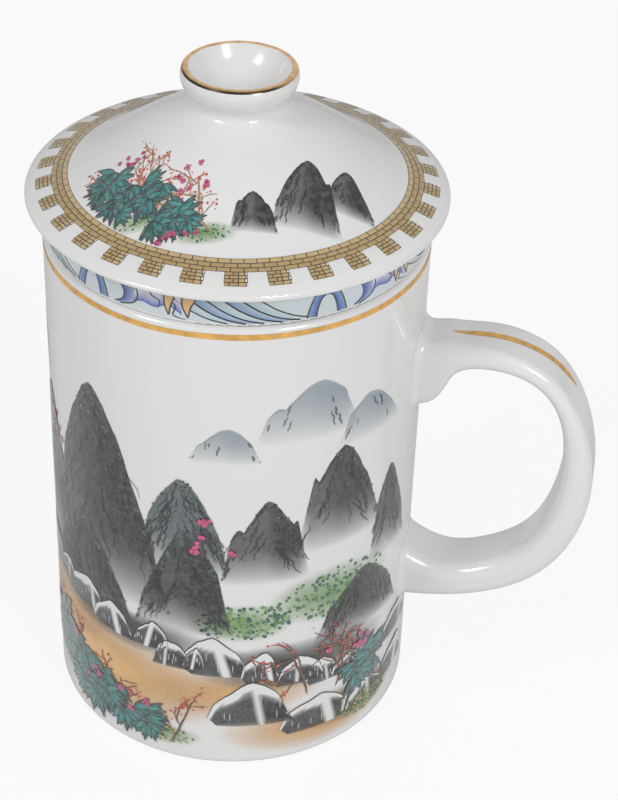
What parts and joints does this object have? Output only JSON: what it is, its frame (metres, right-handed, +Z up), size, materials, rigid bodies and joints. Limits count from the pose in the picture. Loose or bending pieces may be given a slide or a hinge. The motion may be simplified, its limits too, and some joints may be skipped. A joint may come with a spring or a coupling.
{
  "type": "lidded tea mug with infuser",
  "caption": "Porcelain tea mug with a ring handle, a drop-in pierced infuser cup and a loose domed lid with a hollow knob.",
  "frame": {"origin": "centre of the foot, on the table", "axes": "+Z up along the mug's axis, +X towards the handle"},
  "size_m": [0.116, 0.082, 0.1445],
  "materials": {
    "mug_glaze": "glossy white glaze with painted decoration",
    "handle_glaze": "glossy white glaze with painted decoration",
    "infuser_glaze": "glossy white glaze with painted decoration",
    "lid_glaze": "glossy white glaze with painted decoration",
    "knob_glaze": "glossy white glaze with painted decoration"
  },
  "bodies": {
    "mug": {"mug_body": "mug_glaze", "mug_handle": "handle_glaze"},
    "infuser": {"infuser_cup": "infuser_glaze"},
    "lid": {"lid_shell": "lid_glaze", "lid_knob": "knob_glaze"}
  },
  "joints": [
    {"name": "infuser_lift", "type": "slide", "parent": "mug", "child": "infuser", "axis": [0, 0, 1], "range_m": [0, 0.08]},
    {"name": "lid_lift", "type": "slide", "parent": "infuser", "child": "lid", "axis": [0, 0, 1], "range_m": [0, 0.04]}
  ]
}
